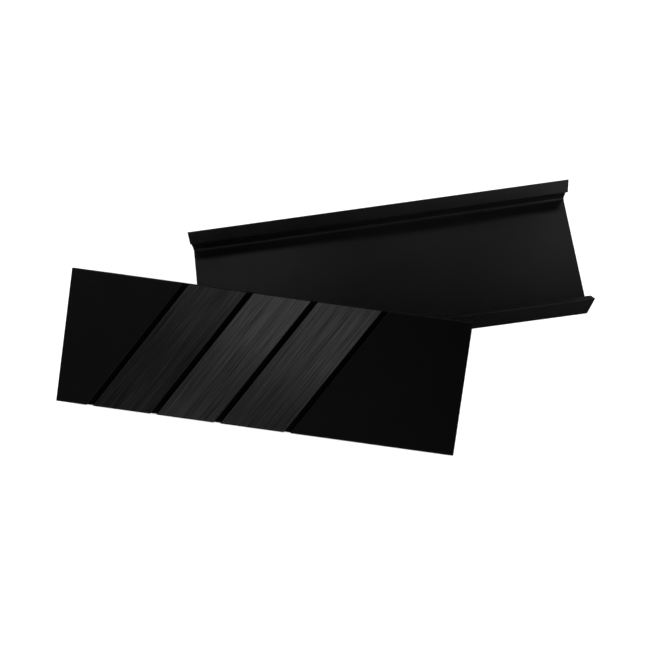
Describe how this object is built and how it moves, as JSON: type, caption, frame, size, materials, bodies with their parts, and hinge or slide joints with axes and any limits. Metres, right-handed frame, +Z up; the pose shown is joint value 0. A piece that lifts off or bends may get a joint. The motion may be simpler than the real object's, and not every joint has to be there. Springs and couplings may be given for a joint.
{
  "type": "clip-on solid-state drive heat sink",
  "caption": "Open aluminium tray with hooked rails for a 22 mm wide drive board, and a grooved cover, taken off and leaning on it, that clips between the rails",
  "frame": {"origin": "middle of the tray's underside, on the surface that it stands on", "axes": "+X along the tray, +Y across it to the rail away from the cover, +Z up out of the tray"},
  "size_m": [0.0976, 0.0481, 0.0186],
  "materials": {
    "tray_anodised": "satin black anodised",
    "cover_anodised": "matt black anodised, with three diagonal brushed bands",
    "pad_silicone": "soft filled silicone, matt"
  },
  "bodies": {
    "root": {"base_tray": "tray_anodised", "top_cover": "cover_anodised", "thermal_pad": "pad_silicone"}
  },
  "joints": []
}
